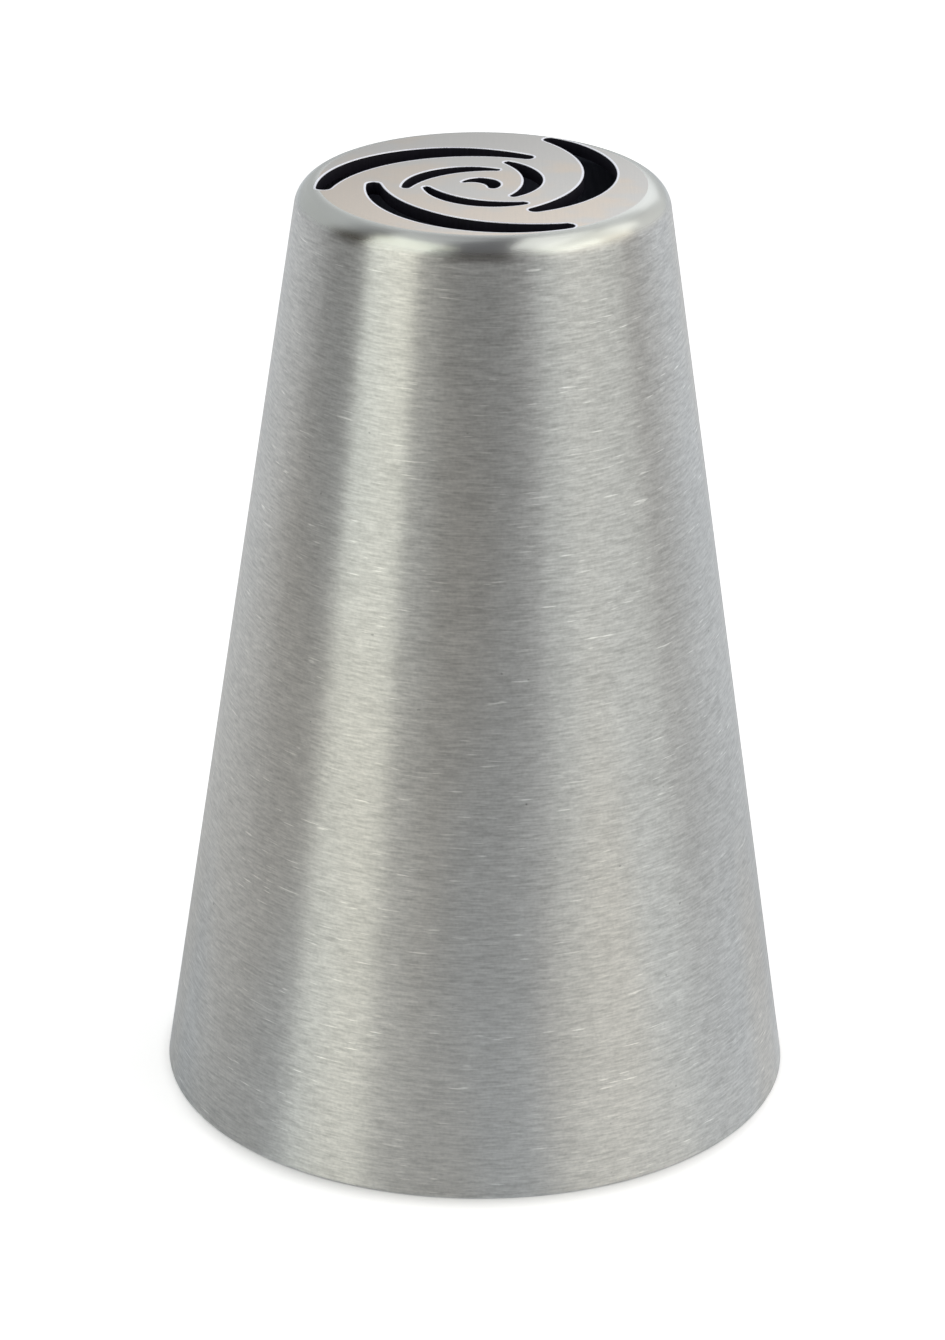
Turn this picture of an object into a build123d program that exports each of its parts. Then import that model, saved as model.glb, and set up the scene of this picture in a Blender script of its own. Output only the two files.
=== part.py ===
import os

from build123d import *

# Piping nozzle that squeezes a rose: one cup of sheet steel, drawn into a cone with a closed
# flat tip, open at the wide end, with curved slots cut through the tip. Millimetres.
# The origin is the centre of the wide rim, which the nozzle stands on, and +Z points to the tip.
# Seen from above, +Y is away from the side that the curved slots open towards at the front.

# Cone
base_diameter = 25.0  # outside, at the wide rim
tip_diameter = 14.1  # outside, where the cone's slope would meet the plane of the tip
height = 37.0
sheet = 0.5  # thickness of the steel, the same everywhere
shoulder_radius = 1.0  # outside bend from the cone into the flat tip
rim_edge_radius = 0.08  # tumbled edges of the trimmed rim

# Slots: each is a crescent between a round outer edge and a second, shifted round edge.
# The centre of the outer edge is given from the middle of the pattern, for the slot on the +X side.
pattern_x = -0.13  # the middle of the pattern lies slightly off the cone's axis
pattern_y = -0.17

petal_outer_radius = 5.25
petal_inner_radius = 5.80
petal_width = 1.20  # at its widest
petal_x = -0.18
petal_y = 1.19
petal_lower_tip = 0.24  # radius of its rounded ends
petal_upper_tip = 0.27

bud_outer_radius = 2.61
bud_inner_radius = 3.47
bud_width = 0.68
bud_x = -0.19
bud_y = 0.56
bud_lower_tip = 0.11
bud_upper_tip = 0.14

heart_outer_radius = 0.73
heart_inner_radius = 0.66
heart_width = 0.60
heart_x = 0.02
heart_y = -0.04
heart_lower_tip = 0.15
heart_upper_tip = 0.05

# Each slot sits a little off its even place, by these shares of one small length.
slot_shift = 0.1
petal_turns = (-3.1, -1.3, -1.8)  # degrees, on top of the even steps round the ring
petal_shift_shares = ((0.8, 3.1), (0.4, -0.7), (-1.2, 0.2))
bud_turns = (4.3, 4.6, 5.7)
bud_shift_shares = ((0.0, 0.5), (0.4, -0.6), (-1.2, -0.4))
heart_turn = 49.5

overrun = 1.0  # how far a cut starts clear of the metal


def crescent(outer_radius, inner_radius, width, lower_tip, upper_tip):
    """The outline of one slot, with the centre of its outer edge at the origin."""
    with BuildSketch(mode=Mode.PRIVATE) as outline:
        Circle(outer_radius)
        with Locations((outer_radius - width - inner_radius, 0)):
            Circle(inner_radius, mode=Mode.SUBTRACT)
        fillet(outline.vertices().sort_by(Axis.Y)[0], lower_tip)
        fillet(outline.vertices().sort_by(Axis.Y)[-1], upper_tip)
    return outline.sketch


def ring(outline, x, y, turns, shift_shares):
    """Copies of a slot in even steps round the pattern, each with its own turn and shift."""
    for step, (turn, (x_share, y_share)) in enumerate(zip(turns, shift_shares)):
        shift = Location((x_share * slot_shift, y_share * slot_shift, 0))
        turned = Location((0, 0, 0), (0, 0, step * 360 / len(turns) + turn))
        with Locations(shift * turned * Location((x, y, 0))):
            add(outline)


petal = crescent(
    petal_outer_radius, petal_inner_radius, petal_width, petal_lower_tip, petal_upper_tip
)
bud = crescent(bud_outer_radius, bud_inner_radius, bud_width, bud_lower_tip, bud_upper_tip)
heart = crescent(
    heart_outer_radius, heart_inner_radius, heart_width, heart_lower_tip, heart_upper_tip
)

with BuildPart() as nozzle_shell:
    # the outside of the cup, as a solid
    with BuildSketch(Plane.XZ) as half_section:
        with BuildLine():
            Polyline(
                (0, 0), (base_diameter / 2, 0), (tip_diameter / 2, height), (0, height), close=True
            )
        make_face()
        shoulder = half_section.vertices().group_by(Axis.Y)[-1].sort_by(Axis.X)[-1]
        fillet(shoulder, shoulder_radius)
    revolve(axis=Axis.Z)

    # hollowed to the thickness of the sheet, open at the wide end
    offset(amount=-sheet, openings=nozzle_shell.faces().sort_by(Axis.Z)[0])
    rim = nozzle_shell.faces().sort_by(Axis.Z)[0]
    fillet(rim.edges(), rim_edge_radius)

    # the slots, cut straight down through the flat tip and the start of its bend
    with BuildSketch(Plane.XY.offset(height - shoulder_radius)):
        with Locations((pattern_x, pattern_y)):
            ring(petal, petal_x, petal_y, petal_turns, petal_shift_shares)
            ring(bud, bud_x, bud_y, bud_turns, bud_shift_shares)
            ring(heart, heart_x, heart_y, (heart_turn,), ((0, 0),))
    extrude(amount=shoulder_radius + overrun, mode=Mode.SUBTRACT)

nozzle_shell.part.label = "nozzle_shell"

os.makedirs("parts", exist_ok=True)
export_step(nozzle_shell.part, "parts/nozzle_shell.step")
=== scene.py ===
import math

import bmesh
import bpy
from mathutils import Matrix, Vector


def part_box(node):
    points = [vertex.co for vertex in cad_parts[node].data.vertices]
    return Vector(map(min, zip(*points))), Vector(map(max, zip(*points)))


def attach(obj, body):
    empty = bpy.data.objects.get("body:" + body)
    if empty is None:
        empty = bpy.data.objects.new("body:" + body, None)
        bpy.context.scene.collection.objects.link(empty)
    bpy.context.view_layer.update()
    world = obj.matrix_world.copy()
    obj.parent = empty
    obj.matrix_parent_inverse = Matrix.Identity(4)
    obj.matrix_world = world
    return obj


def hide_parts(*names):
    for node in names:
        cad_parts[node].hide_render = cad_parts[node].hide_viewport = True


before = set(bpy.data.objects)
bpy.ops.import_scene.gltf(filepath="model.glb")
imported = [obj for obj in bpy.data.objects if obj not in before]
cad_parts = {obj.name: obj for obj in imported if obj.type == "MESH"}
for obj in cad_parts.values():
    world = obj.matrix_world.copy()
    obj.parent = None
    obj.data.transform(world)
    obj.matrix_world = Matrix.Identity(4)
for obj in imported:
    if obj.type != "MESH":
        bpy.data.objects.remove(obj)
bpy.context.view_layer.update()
millimetre = 0.001
print("frame loaded")

# Nozzle shell, in millimetres. Its height comes from the frame.
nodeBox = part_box("nozzle_shell")
shell = {
    "height": nodeBox[1].z / millimetre,
    "rimDiameter": 25.0,
    "tipDiameter": 14.1,  # where the cone's slope would meet the plane of the tip
    "sheet": 0.5,
    "shoulderRadius": 1.0,
    "shoulderSteps": 20,
    "innerSteps": 12,
    "rimRounding": 0.08,
    "rimSteps": 4,
    "coneCuts": 11,
    "turnSteps": 288,
    "discShare": 0.97,  # the disc in the middle of the tip, as a share of the flat part
    "sharpAngle": 32,
}
slots = {
    "patternCentre": (-0.13, -0.17),
    "shift": 0.1,
    "arcStep": 0.12,  # length of one edge along a slot
    "tipSteps": 8,
    # outline grown by this much at this height over the surface: wall, rounded lip, bright band round the
    # slot (painted highlight on the burr)
    "levels": (
        (0.03, -1.0), (0.03, -0.018), (0.034, -0.011), (0.041, -0.006),
        (0.055, -0.003), (0.12, -0.001), (0.124, 0.3),
    ),
    "wallTop": -0.019,
    "bendReach": 0.98,  # how far round the shoulder a slot may follow the surface
    "weld": 0.0002,  # joins the slivers that the cut leaves
}
# outer radius, inner radius, width, lower and upper tip radius, place of the outer edge's centre,
# then one turn and one shift share for each copy round the ring
petal = {
    "outer": 5.25, "inner": 5.80, "width": 1.20, "tips": (0.24, 0.27), "centre": (-0.18, 1.19),
    "turns": (-3.1, -1.3, -1.8), "shifts": ((0.8, 3.1), (0.4, -0.7), (-1.2, 0.2)),
}
bud = {
    "outer": 2.61, "inner": 3.47, "width": 0.68, "tips": (0.11, 0.14), "centre": (-0.19, 0.56),
    "turns": (4.3, 4.6, 5.7), "shifts": ((0.0, 0.5), (0.4, -0.6), (-1.2, -0.4)),
}
heart = {
    "outer": 0.73, "inner": 0.66, "width": 0.60, "tips": (0.15, 0.05), "centre": (0.02, -0.04),
    "turns": (49.5,), "shifts": ((0.0, 0.0),),
}
brushed, tipFace, cutEdge, lip, drawn, rim = range(6)  # material slots of the shell
merge = 1e-5  # vertices nearer than this are one
slack = 1e-4  # heights nearer than this are the same
upright = 0.999  # a face whose normal rises more than this is flat


def drawLine(bm, vert, end):
    new = bmesh.ops.extrude_vert_indiv(bm, verts=[vert])["verts"][0]
    new.co = end
    return new


def drawArc(bm, vert, centre, axis, angle, steps):
    made = bmesh.ops.spin(bm, geom=[vert], cent=centre, axis=axis, angle=angle, steps=steps)
    return next(item for item in made["geom_last"] if isinstance(item, bmesh.types.BMVert))


def drawRounded(bm, corners):
    # a line through the corners in the XZ plane, each rounded to its own radius
    vert = bm.verts.new(corners[0][0])
    for before, corner, after in zip(corners, corners[1:], corners[2:]):
        point, radius, steps = corner
        into = (point - before[0]).normalized()
        outOf = (after[0] - point).normalized()
        turn = math.atan2(into.cross(outOf).y, into.dot(outOf))
        start = point - into * radius * math.tan(abs(turn) / 2)
        inward = Vector((0, 1, 0)).cross(into) * math.copysign(radius, turn)
        vert = drawLine(bm, vert, start)
        vert = drawArc(bm, vert, start + inward, (0, 1, 0), turn, steps)
    drawLine(bm, vert, corners[-1][0])


def coneRadius(z):
    share = z / shell["height"]
    return (shell["rimDiameter"] * (1 - share) + shell["tipDiameter"] * share) / 2


slope = math.atan((shell["rimDiameter"] - shell["tipDiameter"]) / 2 / shell["height"])
flatRadius = shell["tipDiameter"] / 2 - shell["shoulderRadius"] * math.tan((math.pi / 2 - slope) / 2)


def makeShell():
    # one side of the cup, from the tip down the outside and up the inside, spun round the axis
    height, sheet, rounding = shell["height"], shell["sheet"], shell["rimRounding"]
    wall = sheet / math.cos(slope)
    ceiling = height - sheet
    innerBend = shell["shoulderRadius"] - sheet
    ceilingRadius = coneRadius(ceiling) - wall
    bm = bmesh.new()
    drawRounded(bm, [
        (Vector((flatRadius * shell["discShare"], 0, height)), 0, 0),
        (Vector((coneRadius(height), 0, height)), shell["shoulderRadius"], shell["shoulderSteps"]),
        (Vector((coneRadius(0), 0, 0)), rounding, shell["rimSteps"]),
        (Vector((coneRadius(0) - wall, 0, 0)), rounding, shell["rimSteps"]),
        (Vector((ceilingRadius, 0, ceiling)), innerBend, shell["innerSteps"]),
        (Vector((ceilingRadius - innerBend, 0, ceiling)), 0, 0),
    ])
    longEdges = [edge for edge in bm.edges if edge.calc_length() > height / 2]
    bmesh.ops.subdivide_edges(bm, edges=longEdges, cuts=shell["coneCuts"])
    bmesh.ops.spin(
        bm, geom=bm.verts[:] + bm.edges[:], cent=(0, 0, 0), axis=(0, 0, 1),
        angle=math.tau, steps=shell["turnSteps"], use_merge=True,
    )
    bmesh.ops.remove_doubles(bm, verts=bm.verts, dist=merge)
    for level in (height, ceiling):
        ring = [edge for edge in bm.edges if edge.is_boundary and abs(edge.verts[0].co.z - level) < slack]
        bmesh.ops.contextual_create(bm, geom=ring)
    bmesh.ops.recalc_face_normals(bm, faces=bm.faces)
    for face in bm.faces:
        middle, normal = face.calc_center_median(), face.normal
        outward = normal.xy.dot(middle.xy.normalized() if middle.xy.length > slack else Vector((0, 0)))
        if middle.z < rounding / 2:
            face.material_index = rim
        elif normal.z > upright:
            face.material_index = tipFace
        elif outward > 0:
            face.material_index = brushed
        else:
            face.material_index = drawn
    return bm


def surfaceHeight(x, y):
    # height of the outside of the tip and its bend over a point of the plan
    bend = shell["shoulderRadius"]
    beyond = min(max(math.hypot(x, y) - flatRadius, 0), bend * slots["bendReach"])
    return shell["height"] - bend + math.sqrt(bend * bend - beyond * beyond)


def meshFrom(bm, name):
    mesh = bpy.data.meshes.new(name)
    bm.to_mesh(mesh)
    bm.free()
    return mesh


def drawCrescent(bm, size, grow, level):
    # one closed outline: outer edge, upper tip, inner edge, lower tip
    outer, inner = size["outer"], size["inner"]
    base = Vector((0, 0, level))
    away = base + Vector((outer - size["width"] - inner, 0, 0))
    tips = []
    for tip, side in zip(size["tips"], (-1, 1)):
        near, far = outer - tip, inner + tip
        x = (away.x**2 + near**2 - far**2) / (2 * away.x)
        tips.append(Vector((x, side * math.sqrt(near**2 - x**2), level)))
    lower, upper = tips
    fromOuter = [math.atan2(point.y, point.x) for point in tips]
    fromInner = [math.atan2(point.y, point.x - away.x) for point in tips]
    arcs = (
        (base, fromOuter[1] - fromOuter[0], outer),
        (upper, fromInner[1] + math.pi - fromOuter[1], 0),
        (away, fromInner[0] - fromInner[1], inner),
        (lower, fromOuter[0] + math.pi - fromInner[0], 0),
    )
    first = bm.verts.new(base + Matrix.Rotation(fromOuter[0], 3, "Z") @ Vector((outer + grow, 0, 0)))
    vert = first
    for centre, angle, radius in arcs:
        steps = max(slots["tipSteps"], round(abs(angle) * radius / slots["arcStep"]))
        vert = drawArc(bm, vert, centre, (0, 0, 1), angle, steps)
    bmesh.ops.pointmerge(bm, verts=[first, vert], merge_co=first.co)


def makeSlotTool(size):
    # the space of one slot with its lip, stacked up from below the sheet: z is the height over the surface
    bm = bmesh.new()
    outlines = []
    for grow, level in slots["levels"]:
        drawCrescent(bm, size, grow, level)
        outlines.append([edge for edge in bm.edges if abs(edge.verts[0].co.z - level) < slack])
    for below, above in zip(outlines, outlines[1:]):
        bmesh.ops.bridge_loops(bm, edges=below + above)
    bmesh.ops.contextual_create(bm, geom=outlines[0])
    bmesh.ops.contextual_create(bm, geom=outlines[-1])
    bmesh.ops.recalc_face_normals(bm, faces=bm.faces)
    for face in bm.faces:
        face.material_index = cutEdge if face.calc_center_median().z < slots["wallTop"] else lip
    return meshFrom(bm, "slotTool")


def makeCutter():
    # every slot in its place, lifted to follow the surface of the tip
    middle = Matrix.Translation((*slots["patternCentre"], 0))
    bm = bmesh.new()
    for size in (petal, bud, heart):
        tool = makeSlotTool(size)
        count = len(size["turns"])
        for step, (turn, shift) in enumerate(zip(size["turns"], size["shifts"])):
            moved = Matrix.Translation((shift[0] * slots["shift"], shift[1] * slots["shift"], 0))
            turned = Matrix.Rotation(math.radians(step * 360 / count + turn), 4, "Z")
            place = middle @ moved @ turned @ Matrix.Translation((*size["centre"], 0))
            before = len(bm.verts)
            bm.from_mesh(tool)
            bm.verts.ensure_lookup_table()
            for vert in bm.verts[before:]:
                vert.co = place @ vert.co
                vert.co.z += surfaceHeight(vert.co.x, vert.co.y)
        bpy.data.meshes.remove(tool)
    return bm


# Steel finishes. Patterns read Object coordinates, turned into millimetres. A grain is a noise's number
# of grains to the millimetre along x, y and z. A range gives two values of a noise or height, and what
# they become.
steel = {
    # brushed cone
    "coneTint": (0.612, 0.605, 0.581),
    "coneHues": ((1.02, 1.0, 0.975), (0.98, 1.0, 1.025)),  # broad warm and cool stripes down the cone
    "hueGrain": (0.16, 0.16, 0.02),
    "hueRange": (0.35, 0.65, 0, 1),
    "coneRoughness": 0.34,
    "anisotropy": 0.9,
    "brushTurn": 0.25,  # brushed round the axis, not along it
    "fineGrain": (1.5, 1.5, 11.5),
    "coarseGrain": (0.5, 0.5, 3.5),
    "speckGrain": (8.0, 8.0, 8.0),
    "grainShares": (0.62, 0.16, 0.22),  # of fine, coarse and speck
    "grainContrast": 1.3,
    "grainRoughness": 0.12,
    "grainDepth": 0.0006,
    "cloudGrain": (0.12, 0.12, 0.3),
    "cloudSpread": 0.03,
    # scratches painted brighter than the steel round them: painted glints
    "scratchGrain": (0.9, 0.9, 11.0),
    "glintRange": (0.65, 0.78, 0, 0.40),
    "groupGrain": (0.35, 0.35, 0.5),  # painted glints: the scratches are painted brighter, more so in groups
    "groupRange": (0.42, 0.62, 0.45, 1.35),
    "nickGrain": (4.0, 4.0, 5.0),
    "nickRange": (0.86, 0.93, 0, 0.35),
    # smooth shoulder
    "shoulderTint": (0.65, 0.66, 0.615),
    "shoulderRoughness": 0.25,
    "shoulderRange": (36.3, 36.6, 0, 1),
    # how far down the bend from the flat tip the painted light and shade reach
    "sideLightRange": (36.85, 36.97, 0, 1),
    # flat tip
    "tipTint": (0.74, 0.662, 0.572),
    "tipCoolTint": (0.68, 0.66, 0.622),
    "tipCooling": (0.018, 0.030, 0),  # painted reflection tint: the warm tint gives way to the cool one in this direction
    "blotchGrain": (0.42, 0.42, 0.42),
    "blotchRange": (0.38, 0.62, 0, 1),
    "sideLightDirection": (0.62, -0.78, 0),  # painted light and shade: the tip and its bend are painted brighter on this side and darker on the other
    "sideLight": 0.20,
    "rollingGrain": (14.0, 0.5, 0.5),
    "millGrain": (9.0, 9.0, 9.0),
    "tipShares": (0.6, 0.4),  # of rolling and mill
    "tipSpread": 0.05,
    "tipRoughness": 0.40,
    "tipRoughnessSpread": 0.04,
    "tipDepth": 0.00024,
    # inside of the cup
    # darker than the outside: partly a duller drawn finish, partly painted shade for the hollow
    "insideTint": (0.29, 0.285, 0.31),
    "drawGrain": (7.0, 7.0, 0.2),
    "drawSpread": 0.15,
    "stainGrain": (0.3, 0.3, 0.15),
    "stainSpread": 0.1,
    "insideRoughness": 0.45,
    "insideRoughnessSpread": 0.07,
    "drawDepth": 0.0012,
    # punched edges: tint, roughness, metallic, spread of the tint, specular level
    # cut walls are near-black: partly a dark cut finish, partly painted shade for the dark inside the slots
    "cut": ((0.010, 0.009, 0.016), 0.6, 0.0, 0.4, 0.15),
    # lip and band round each slot are near-white: a bright burr, plus painted highlight
    "lip": ((0.93, 0.93, 0.97), 0.3, 1.0, 0.05, 0.5),
    "rim": ((0.62, 0.62, 0.61), 0.4, 1.0, 0.12, 0.5),
    "cutGrain": (18.0, 18.0, 1.2),
    "cutRoughnessSpread": 0.06,
}
noiseMean = 0.5
noiseLow, noiseHigh = 0.3, 0.7  # most of a noise lies between these
white = (1, 1, 1, 1)


def addNode(tree, kind, inputs=None, **settings):
    node = tree.nodes.new("ShaderNode" + kind)
    for name, value in settings.items():
        setattr(node, name, value)
    for name, value in (inputs or {}).items():
        if isinstance(value, bpy.types.NodeSocket):
            tree.links.new(value, node.inputs[name])
        else:
            node.inputs[name].default_value = value
    return node


def startMaterial(name, tint, roughness, metallic=1.0):
    material = bpy.data.materials.new(name)
    material.use_nodes = True
    shader = material.node_tree.nodes["Principled BSDF"]
    shader.inputs["Base Color"].default_value = (*tint, 1)
    shader.inputs["Metallic"].default_value = metallic
    shader.inputs["Roughness"].default_value = roughness
    return material, material.node_tree, shader


def vectorCalc(tree, operation, first, second=(0, 0, 0)):
    node = addNode(tree, "VectorMath", {0: first, 1: second}, operation=operation)
    return node.outputs["Value" if operation in ("DOT_PRODUCT", "DISTANCE", "LENGTH") else "Vector"]


def calc(tree, operation, first, second=0.0):
    return addNode(tree, "Math", {0: first, 1: second}, operation=operation).outputs[0]


def times(tree, first, second):
    return calc(tree, "MULTIPLY", first, second)


def plus(tree, first, second):
    return calc(tree, "ADD", first, second)


def remap(tree, value, low, high, newLow, newHigh, smooth=False):
    kind = "SMOOTHSTEP" if smooth else "LINEAR"
    inputs = {"Value": value, "From Min": low, "From Max": high, "To Min": newLow, "To Max": newHigh}
    return addNode(tree, "MapRange", inputs, interpolation_type=kind).outputs[0]


def vary(tree, noise, middle, spread):
    return remap(tree, noise, noiseLow, noiseHigh, middle - spread, middle + spread)


def blend(tree, amount, first, second):
    return addNode(tree, "Mix", {0: amount, 6: first, 7: second}, data_type="RGBA").outputs[2]


def blendValue(tree, amount, first, second):
    return addNode(tree, "Mix", {0: amount, 2: first, 3: second}, data_type="FLOAT").outputs[0]


def lighten(tree, colour, factor):
    # a colour times a grey value
    grey = addNode(tree, "CombineXYZ", {0: factor, 1: factor, 2: factor}).outputs[0]
    return vectorCalc(tree, "MULTIPLY", colour, grey)


def millimetres(tree):
    perMetre = 1 / millimetre
    place = addNode(tree, "TexCoord").outputs["Object"]
    return vectorCalc(tree, "MULTIPLY", place, (perMetre, perMetre, perMetre))


def streaks(tree, place, perMillimetre, detail=3.0, roughness=0.55):
    scaled = vectorCalc(tree, "MULTIPLY", place, perMillimetre)
    inputs = {"Vector": scaled, "Scale": 1.0, "Detail": detail, "Roughness": roughness}
    return addNode(tree, "TexNoise", inputs).outputs[0]


def addBump(tree, shader, height, depth):
    inputs = {"Strength": 1.0, "Distance": depth * millimetre, "Height": height}
    bump = addNode(tree, "Bump", inputs)
    tree.links.new(bump.outputs[0], shader.inputs["Normal"])


def paintedSideLight(tree, place):
    # painted light and shade: brighter towards one side of the tip and darker towards the other, over its
    # whole width
    side = vectorCalc(tree, "DOT_PRODUCT", place, steel["sideLightDirection"])
    return remap(tree, side, -flatRadius, flatRadius, 1 - steel["sideLight"], 1 + steel["sideLight"])


def brushedMaterial():
    # the outside: brushed cone with scratches painted bright as glints, and nicks, and a smoother shoulder
    # over it, painted lighter on one side near the tip
    material, tree, shader = startMaterial("brushedSteel", steel["coneTint"], steel["coneRoughness"])
    shader.inputs["Anisotropic"].default_value = steel["anisotropy"]
    shader.inputs["Anisotropic Rotation"].default_value = steel["brushTurn"]
    tangent = addNode(tree, "Tangent", direction_type="RADIAL", axis="Z").outputs[0]
    tree.links.new(tangent, shader.inputs["Tangent"])
    place = millimetres(tree)
    height = addNode(tree, "SeparateXYZ", {0: place}).outputs["Z"]
    polished = remap(tree, height, *steel["shoulderRange"], smooth=True)
    onCone = calc(tree, "SUBTRACT", 1.0, polished)

    fine = times(tree, streaks(tree, place, steel["fineGrain"], 2.0), steel["grainShares"][0])
    coarse = times(tree, streaks(tree, place, steel["coarseGrain"]), steel["grainShares"][1])
    speck = times(tree, streaks(tree, place, steel["speckGrain"], 1.0), steel["grainShares"][2])
    grain = plus(tree, plus(tree, fine, coarse), speck)
    centred = calc(tree, "SUBTRACT", grain, noiseMean)
    scratch = streaks(tree, place, steel["scratchGrain"], 1.0)
    group = streaks(tree, place, steel["groupGrain"], 1.0)
    paintedGlint = times(
        tree,
        remap(tree, scratch, *steel["glintRange"], smooth=True),
        remap(tree, group, *steel["groupRange"], smooth=True),
    )
    nick = streaks(tree, place, steel["nickGrain"], 0.0)
    pit = remap(tree, nick, *steel["nickRange"], smooth=True)
    worn = calc(tree, "SUBTRACT", times(tree, centred, steel["grainContrast"]), pit)
    shade = plus(tree, 1.0, times(tree, plus(tree, worn, paintedGlint), onCone))
    cloud = streaks(tree, place, steel["cloudGrain"])
    shade = times(tree, shade, vary(tree, cloud, 1, steel["cloudSpread"]))

    hue = remap(tree, streaks(tree, place, steel["hueGrain"], 1.0), *steel["hueRange"], smooth=True)
    warm, cool = ((*(a * b for a, b in zip(steel["coneTint"], part)), 1) for part in steel["coneHues"])
    # painted light and shade on the top of the bend, fading out down the shoulder
    sideLight = blend(tree, remap(tree, height, *steel["sideLightRange"]), white, paintedSideLight(tree, place))
    shoulder = vectorCalc(tree, "MULTIPLY", sideLight, steel["shoulderTint"])
    tint = blend(tree, polished, blend(tree, hue, warm, cool), shoulder)
    tree.links.new(lighten(tree, tint, shade), shader.inputs["Base Color"])

    smoothness = remap(tree, polished, 0, 1, steel["coneRoughness"], steel["shoulderRoughness"])
    rough = plus(tree, smoothness, times(tree, centred, times(tree, onCone, steel["grainRoughness"])))
    tree.links.new(rough, shader.inputs["Roughness"])
    addBump(tree, shader, times(tree, grain, onCone), steel["grainDepth"])
    return material


def tipMaterial():
    # plain mill finish: soft blotches, fine rolling lines and a little grain, with painted light and shade
    # from one side and a painted reflection tint
    material, tree, shader = startMaterial("tipSteel", steel["tipTint"], steel["tipRoughness"])
    place = millimetres(tree)
    blotch = streaks(tree, place, steel["blotchGrain"], 2.0)
    # painted reflection tint: the cool tint grows across the tip in one direction, broken by the blotches
    blotch = plus(tree, blotch, vectorCalc(tree, "DOT_PRODUCT", place, steel["tipCooling"]))
    cooled = remap(tree, blotch, *steel["blotchRange"], smooth=True)
    tint = blend(tree, cooled, (*steel["tipTint"], 1), (*steel["tipCoolTint"], 1))
    # painted light and shade: one side of the tip lighter, the other darker
    tint = lighten(tree, tint, paintedSideLight(tree, place))
    lines = times(tree, streaks(tree, place, steel["rollingGrain"]), steel["tipShares"][0])
    grain = times(tree, streaks(tree, place, steel["millGrain"]), steel["tipShares"][1])
    texture = plus(tree, lines, grain)
    tint = lighten(tree, tint, vary(tree, texture, 1, steel["tipSpread"]))
    tree.links.new(tint, shader.inputs["Base Color"])
    rough = vary(tree, texture, steel["tipRoughness"], steel["tipRoughnessSpread"])
    tree.links.new(rough, shader.inputs["Roughness"])
    addBump(tree, shader, texture, steel["tipDepth"])
    return material


def drawnMaterial():
    # inside of the cup: duller and darker, the darkness partly painted shade, with draw lines that run from
    # the tip to the rim
    material, tree, shader = startMaterial("drawnSteel", steel["insideTint"], steel["insideRoughness"])
    place = millimetres(tree)
    lines = streaks(tree, place, steel["drawGrain"])
    stain = streaks(tree, place, steel["stainGrain"], 2.0)
    shade = times(tree, vary(tree, lines, 1, steel["drawSpread"]), vary(tree, stain, 1, steel["stainSpread"]))
    tree.links.new(lighten(tree, steel["insideTint"], shade), shader.inputs["Base Color"])
    rough = vary(tree, lines, steel["insideRoughness"], steel["insideRoughnessSpread"])
    tree.links.new(rough, shader.inputs["Roughness"])
    addBump(tree, shader, lines, steel["drawDepth"])
    return material


def cutMaterial(name, tint, roughness, metallic, spread, specular):
    # walls and edges left by a punch: fine lines in the direction of the cut
    material, tree, shader = startMaterial(name, tint, roughness, metallic)
    shader.inputs["Specular IOR Level"].default_value = specular
    lines = streaks(tree, millimetres(tree), steel["cutGrain"])
    tree.links.new(lighten(tree, tint, vary(tree, lines, 1, spread)), shader.inputs["Base Color"])
    tree.links.new(vary(tree, lines, roughness, steel["cutRoughnessSpread"]), shader.inputs["Roughness"])
    return material


finishes = [
    brushedMaterial(),
    tipMaterial(),
    cutMaterial("cutSteel", *steel["cut"]),
    cutMaterial("lipSteel", *steel["lip"]),
    drawnMaterial(),
    cutMaterial("rimSteel", *steel["rim"]),
]

nozzle = bpy.data.objects.new("nozzle", meshFrom(makeShell(), "nozzle"))
cutter = bpy.data.objects.new("slotCutter", meshFrom(makeCutter(), "slotCutter"))
for made in (nozzle, cutter):
    bpy.context.scene.collection.objects.link(made)
    for finish in finishes:
        made.data.materials.append(finish)
cut = nozzle.modifiers.new("slots", "BOOLEAN")
cut.operation = "DIFFERENCE"
cut.solver = "EXACT"
cut.object = cutter
evaluated = nozzle.evaluated_get(bpy.context.evaluated_depsgraph_get())
slotted = bpy.data.meshes.new_from_object(evaluated)
nozzle.modifiers.remove(cut)
nozzle.data = slotted
bpy.data.objects.remove(cutter)
joined = bmesh.new()
joined.from_mesh(slotted)
bmesh.ops.remove_doubles(joined, verts=joined.verts, dist=slots["weld"])
joined.to_mesh(slotted)
joined.free()
slotted.transform(Matrix.Scale(millimetre, 4))
slotted.shade_smooth()
slotted.set_sharp_from_angle(angle=math.radians(shell["sharpAngle"]))
weighted = nozzle.modifiers.new("evenNormals", "WEIGHTED_NORMAL")
weighted.keep_sharp = True
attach(nozzle, "root")
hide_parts("nozzle_shell")
print("nozzle shell made,", len(slotted.polygons), "faces")

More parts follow.
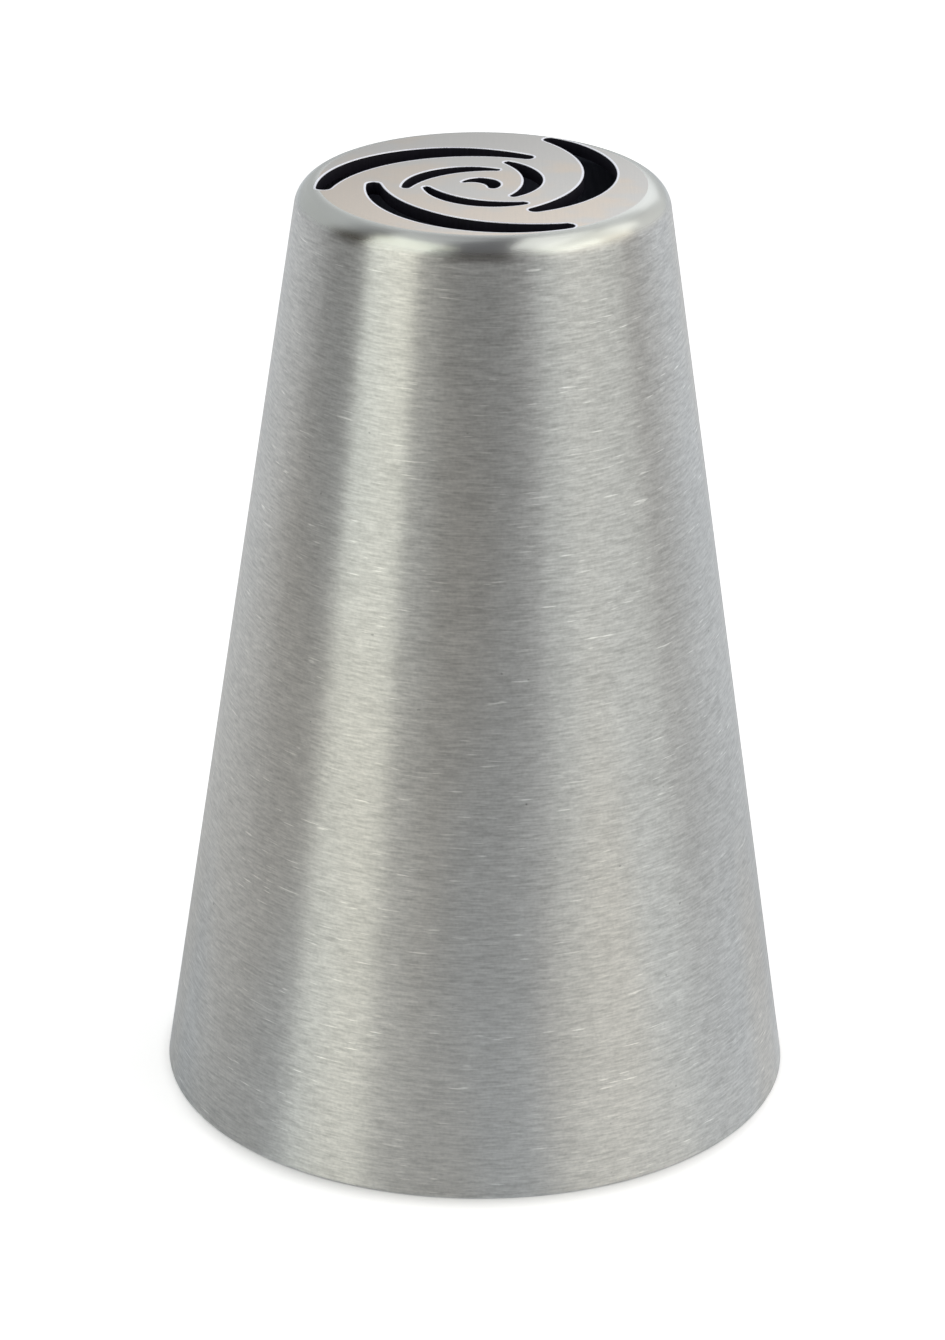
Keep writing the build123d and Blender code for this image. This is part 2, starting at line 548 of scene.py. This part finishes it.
# Studio, in metres: pale floor, plain soft boxes round the object and a backdrop that is bright behind it
studio = {
    "floorSize": 4.0,
    "floorTint": (0.8, 0.8, 0.8),
    "floorRoughness": 0.9,
    "rimRadius": 0.0124,  # the floor's glow starts here, so the cup stays dark
    "rimFade": 0.0004,
    # seen by the camera
    "floorGlow": 0.62,  # lifts the floor to white
    "farFloor": (0.2, 0.8),  # far out, where the lamps no longer help, the glow rises to 1
    "contactReach": 0.0012,  # width of the shadow line where the rim stands
    "contactSamples": 8,
    "contactCore": 0.5,  # open share of the surroundings where the line is darkest
    "contactClear": (-0.004, -0.011, 0.72, 1.0),  # where it ends, from the sides to the front
    "contactDark": (-0.004, -0.011, 0.35, 0.08),  # its darkest glow, from the sides to the front
    # seen in metal
    "floorMirrored": 0.20,
    "mirroredTint": (0.88, 1.0, 1.16),
    "mirroredInside": 0.24,
    "mirroredInFront": (0.02, 0.08, 1.15, 0),  # by distance from the middle
    "mirroredBehind": (0.02, 0.15, 0.5, 1.25),
    "frontToBehind": (0.22, 0.6, 0, 1),  # by depth over distance
    "paintedShadowSpot": (-0.024, 0.006, 0),  # painted shadow: the floor's glow seen in metal is dimmer to the left of the rim
    "paintedShadowRange": (0.010, 0.045, 0.6, 1),
    # lamps and world
    "distance": 0.6,
    "lampAim": (0, 0, 0.018),
    "ambient": (0.06, 0.05, 0.04),
}
# azimuth from the camera to its right, elevation, width, height, level, tint
softBoxes = {
    "leftLow": (-54.5, 7, 0.34, 0.17, 1.80, (1.02, 1.06, 0.95)),
    "leftSide": (-59, 33, 0.38, 0.40, 1.05, (1.0, 1.02, 0.97)),
    "leftHigh": (-66, 60, 0.40, 0.24, 0.85, (1.03, 1.06, 0.92)),
    "leftTop": (-120, 72, 0.50, 0.22, 0.40, (0.97, 1.0, 1.04)),
    "frontLeft": (-31, 25, 0.17, 0.55, 0.26, (0.95, 1.02, 1.04)),
    "frontRight": (30, 33, 0.16, 0.45, 0.28, (0.97, 1.0, 1.03)),
    "rightLow": (60, 7, 0.66, 0.18, 0.66, (0.97, 1.04, 0.98)),
    "rightSide": (77, 27, 0.64, 0.24, 0.65, (1.09, 1.01, 0.88)),
    "rightMiddle": (64, 38, 0.40, 0.20, 0.54, (0.95, 1.04, 1.04)),
    "rightHigh": (86, 48, 0.80, 0.30, 0.66, (1.01, 1.02, 0.96)),
    "rightTop": (95, 70, 0.60, 0.20, 1.05, (1.0, 1.01, 1.0)),
    "backBand": (170, 24, 0.36, 0.18, 0.45, (0.98, 0.99, 1.04)),
}
# light from all round, by direction: axis, where it sets in and is full, heights where it fades, level
washes = {
    "right": ("X", 0.15, 0.85, 0.75, 0.98, (0.31, 0.29, 0.28)),
    "behind": ("Y", 0.10, 0.45, 0.62, 0.90, (0.51, 0.535, 0.565)),
    "above": ("Z", 0.45, 0.95, 1.50, 2.00, (0.12, 0.13, 0.16)),
}


def cameraGlow(tree, depth, reach):
    # white, with a shadow line under the rim that is widest in front
    inputs = {"Distance": studio["contactReach"]}
    contact = addNode(tree, "AmbientOcclusion", inputs, samples=studio["contactSamples"]).outputs["AO"]
    clearAt = remap(tree, depth, *studio["contactClear"])
    darkest = remap(tree, depth, *studio["contactDark"])
    clear = remap(tree, reach, *studio["farFloor"], studio["floorGlow"], 1.0)
    return remap(tree, contact, studio["contactCore"], clearAt, darkest, clear)


def metalGlow(tree, place, depth, reach):
    # fades with distance in front, and grows with it behind
    inFront = remap(tree, reach, *studio["mirroredInFront"])
    farBack = remap(tree, reach, *studio["mirroredBehind"])
    behind = remap(tree, calc(tree, "DIVIDE", depth, reach), *studio["frontToBehind"])
    spread = blendValue(tree, behind, inFront, farBack)
    # painted shadow of the object in the floor's glow, to the left of the rim
    toSpot = vectorCalc(tree, "DISTANCE", place, studio["paintedShadowSpot"])
    spread = times(tree, spread, remap(tree, toSpot, *studio["paintedShadowRange"]))
    return times(tree, spread, studio["floorMirrored"])


def makeFloor():
    bm = bmesh.new()
    bmesh.ops.create_grid(bm, x_segments=1, y_segments=1, size=studio["floorSize"])
    floor = bpy.data.objects.new("floor", meshFrom(bm, "floor"))
    bpy.context.scene.collection.objects.link(floor)
    material, tree, shader = startMaterial("floorPaper", studio["floorTint"], studio["floorRoughness"], 0.0)
    shader.inputs["Specular IOR Level"].default_value = 0.0
    place = addNode(tree, "TexCoord").outputs["Object"]
    depth = addNode(tree, "SeparateXYZ", {0: place}).outputs["Y"]
    reach = vectorCalc(tree, "LENGTH", place)
    rimRadius = studio["rimRadius"]
    openFloor = remap(tree, reach, rimRadius - studio["rimFade"], rimRadius, 0, 1)
    seen = times(tree, cameraGlow(tree, depth, reach), openFloor)
    mirrored = metalGlow(tree, place, depth, reach)
    mirrored = blendValue(tree, openFloor, studio["mirroredInside"], mirrored)
    path = addNode(tree, "LightPath").outputs
    bounced = calc(tree, "MAXIMUM", path["Is Glossy Ray"], path["Is Transmission Ray"])
    glow = plus(tree, times(tree, seen, path["Is Camera Ray"]), times(tree, mirrored, bounced))
    glowTint = blend(tree, path["Is Camera Ray"], (*studio["mirroredTint"], 1), white)
    tree.links.new(glow, shader.inputs["Emission Strength"])
    tree.links.new(glowTint, shader.inputs["Emission Color"])
    floor.data.materials.append(material)


def makeSoftBox(name, azimuth, elevation, width, height, level, tint):
    light = bpy.data.lights.new(name, "AREA")
    light.shape = "RECTANGLE"
    light.size = width
    light.size_y = height
    light.energy = math.pi * width * height * level
    light.color = tint
    lamp = bpy.data.objects.new(name, light)
    flat = math.cos(math.radians(elevation))
    towards = Vector((
        math.sin(math.radians(azimuth)) * flat,
        -math.cos(math.radians(azimuth)) * flat,
        math.sin(math.radians(elevation)),
    ))
    lamp.location = towards * studio["distance"] + Vector(studio["lampAim"])
    lamp.rotation_mode = "QUATERNION"
    lamp.rotation_quaternion = towards.to_track_quat("Z", "Y")
    lamp.visible_camera = False
    bpy.context.scene.collection.objects.link(lamp)


def makeBackdrop():
    world = bpy.data.worlds.new("backdrop")
    bpy.context.scene.world = world
    world.use_nodes = True
    tree = world.node_tree
    background = tree.nodes["Background"]
    direction = addNode(tree, "TexCoord").outputs["Generated"]
    along = addNode(tree, "SeparateXYZ", {0: direction}).outputs
    total = studio["ambient"]
    for axis, start, full, fadeFrom, fadeTo, level in washes.values():
        amount = remap(tree, along[axis], start, full, 0, 1, smooth=True)
        amount = times(tree, amount, remap(tree, along["Z"], fadeFrom, fadeTo, 1, 0, smooth=True))
        total = vectorCalc(tree, "ADD", lighten(tree, level, amount), total)
    path = addNode(tree, "LightPath").outputs
    shown = blend(tree, path["Is Camera Ray"], total, white)
    tree.links.new(shown, background.inputs["Color"])


makeFloor()
for name, values in softBoxes.items():
    makeSoftBox(name, *values)
makeBackdrop()
print("studio made")

# Camera at the photograph's angle: metres, degrees and millimetres of lens and sensor
view = {
    "distance": 0.1924,
    "elevation": 23.67,
    "aimHeight": 0.01682,
    "aimTurn": 0.07,
    "roll": 0.54,
    "lens": 130.66,
    "sensor": 36.0,
    "clipStart": 0.01,
}


def makeCamera():
    camera = bpy.data.objects.new("camera", bpy.data.cameras.new("camera"))
    camera.data.lens = view["lens"]
    camera.data.sensor_width = view["sensor"]
    camera.data.clip_start = view["clipStart"]
    elevation = math.radians(view["elevation"])
    away = Vector((0, -math.cos(elevation), math.sin(elevation))) * view["distance"]
    turned = (
        Matrix.Rotation(math.pi / 2 - elevation, 4, "X")
        @ Matrix.Rotation(math.radians(view["aimTurn"]), 4, "Y")
        @ Matrix.Rotation(math.radians(view["roll"]), 4, "Z")
    )
    camera.matrix_world = Matrix.Translation(away + Vector((0, 0, view["aimHeight"]))) @ turned
    bpy.context.scene.collection.objects.link(camera)
    bpy.context.scene.camera = camera


makeCamera()
bpy.context.scene.view_settings.view_transform = "Standard"
